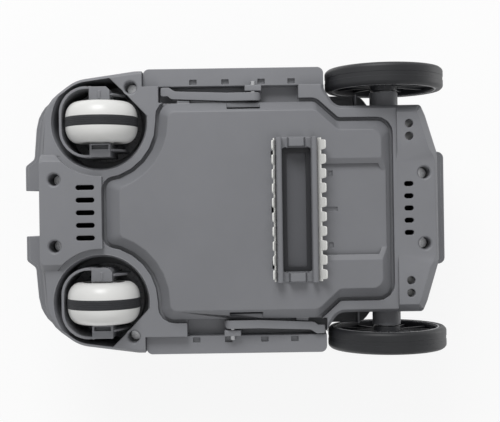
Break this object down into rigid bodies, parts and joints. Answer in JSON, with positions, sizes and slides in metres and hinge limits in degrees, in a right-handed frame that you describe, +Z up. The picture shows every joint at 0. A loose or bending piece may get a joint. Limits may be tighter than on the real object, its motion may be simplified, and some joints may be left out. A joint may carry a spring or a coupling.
{
  "type": "robotic pool cleaner",
  "caption": "Low jet-driven pool cleaner with big rear wheels, swivelling front rollers, a drop-out bottom lid with suction mouth and turn latches.",
  "frame": {"origin": "on the floor, under the middle of the cleaner's length and width, standing on its wheels and rollers", "axes": "+Z up, nose and front rollers towards -Y, large wheels towards +Y, +X is the cleaner's left side"},
  "size_m": [0.279, 0.424, 0.226],
  "materials": {
    "housing": "grained",
    "lid": "grained",
    "rim": "grained",
    "black_plastic": "satin",
    "pump_plastic": "satin",
    "white_plastic": "satin",
    "wiper": "matt",
    "band": "matt",
    "tyre": "matt",
    "steel": "brushed",
    "cloth": "woven"
  },
  "bodies": {
    "chassis": {"chassis_pan": "housing", "hood": "housing", "side_panel_left": "housing", "side_panel_right": "housing", "lid_gasket": "band", "hood_screws": "steel", "carry_handle": "black_plastic", "handle_screws": "steel", "cable_gland": "black_plastic", "gland_nut": "black_plastic", "stub_axle_left": "steel", "stub_axle_right": "steel", "axle_screws": "steel", "latch_pin_left": "steel", "latch_pin_right": "steel", "motor_can": "pump_plastic", "motor_bracket": "pump_plastic", "bracket_screws": "steel", "valve_box": "pump_plastic", "front_duct": "black_plastic", "rear_duct": "black_plastic", "front_nozzle": "black_plastic", "rear_nozzle": "black_plastic", "diverter_pin": "steel"},
    "wheel_left": {"wheel_rim_left": "rim", "wheel_tyre_left": "tyre", "hub_cap_left": "black_plastic"},
    "wheel_right": {"wheel_rim_right": "rim", "wheel_tyre_right": "tyre", "hub_cap_right": "black_plastic"},
    "caster_left": {"caster_yoke_left": "housing", "roller_axle_left": "steel", "caster_washer_left": "steel"},
    "caster_right": {"caster_yoke_right": "housing", "roller_axle_right": "steel", "caster_washer_right": "steel"},
    "roller_left": {"roller_shells_left": "white_plastic", "roller_band_left": "band"},
    "roller_right": {"roller_shells_right": "white_plastic", "roller_band_right": "band"},
    "latch_left": {"latch_left": "housing"},
    "latch_right": {"latch_right": "housing"},
    "lid": {"bottom_lid": "lid", "intake_duct": "black_plastic", "front_rail": "lid", "rear_rail": "lid", "front_wiper": "wiper", "rear_wiper": "wiper", "bag_frame": "white_plastic", "filter_bag": "cloth", "flap_pin": "steel"},
    "intake_flap": {"intake_flap": "lid"},
    "rotor": {"impeller": "black_plastic", "motor_shaft": "steel"},
    "diverter": {"diverter_flap": "white_plastic"}
  },
  "joints": [
    {"name": "lid_lift", "type": "slide", "parent": "chassis", "child": "lid", "axis": [0, 0, -1], "range_m": [0, 0.06]},
    {"name": "latch_left_turn", "type": "hinge", "parent": "chassis", "child": "latch_left", "pos_m": [0.1103, 0.0195, 0.034], "axis": [1, 0, 0], "range_deg": [0, 100]},
    {"name": "latch_right_turn", "type": "hinge", "parent": "chassis", "child": "latch_right", "pos_m": [-0.1103, -0.0035, 0.034], "axis": [-1, 0, 0], "range_deg": [0, 100]},
    {"name": "intake_flap_hinge", "type": "hinge", "parent": "lid", "child": "intake_flap", "pos_m": [0, 0.0697, 0.0314], "axis": [-1, 0, 0], "range_deg": [0, 70]},
    {"name": "wheel_left_spin", "type": "hinge", "parent": "chassis", "child": "wheel_left", "pos_m": [0.117, 0.15, 0.0585], "axis": [1, 0, 0], "continuous": true},
    {"name": "wheel_right_spin", "type": "hinge", "parent": "chassis", "child": "wheel_right", "pos_m": [-0.117, 0.15, 0.0585], "axis": [1, 0, 0], "continuous": true},
    {"name": "caster_left_swivel", "type": "hinge", "parent": "chassis", "child": "caster_left", "pos_m": [0.0875, -0.13, 0.0766], "axis": [0, 0, 1], "range_deg": [-30, 30]},
    {"name": "caster_right_swivel", "type": "hinge", "parent": "chassis", "child": "caster_right", "pos_m": [-0.0875, -0.13, 0.0766], "axis": [0, 0, 1], "range_deg": [-30, 30]},
    {"name": "roller_left_spin", "type": "hinge", "parent": "caster_left", "child": "roller_left", "pos_m": [0.0875, -0.1285, 0.0355], "axis": [1, 0, 0], "continuous": true},
    {"name": "roller_right_spin", "type": "hinge", "parent": "caster_right", "child": "roller_right", "pos_m": [-0.0875, -0.1285, 0.0355], "axis": [1, 0, 0], "continuous": true},
    {"name": "impeller_spin", "type": "hinge", "parent": "chassis", "child": "rotor", "pos_m": [0, 0, 0.138], "axis": [0, 0, 1], "continuous": true},
    {"name": "diverter_turn", "type": "hinge", "parent": "chassis", "child": "diverter", "pos_m": [0, 0, 0.171], "axis": [1, 0, 0], "range_deg": [0, 180]}
  ],
  "couplings": [
    {"joint": "latch_left_turn", "follows": "lid_lift", "rad_per_m": 29},
    {"joint": "latch_right_turn", "follows": "lid_lift", "rad_per_m": 29}
  ]
}
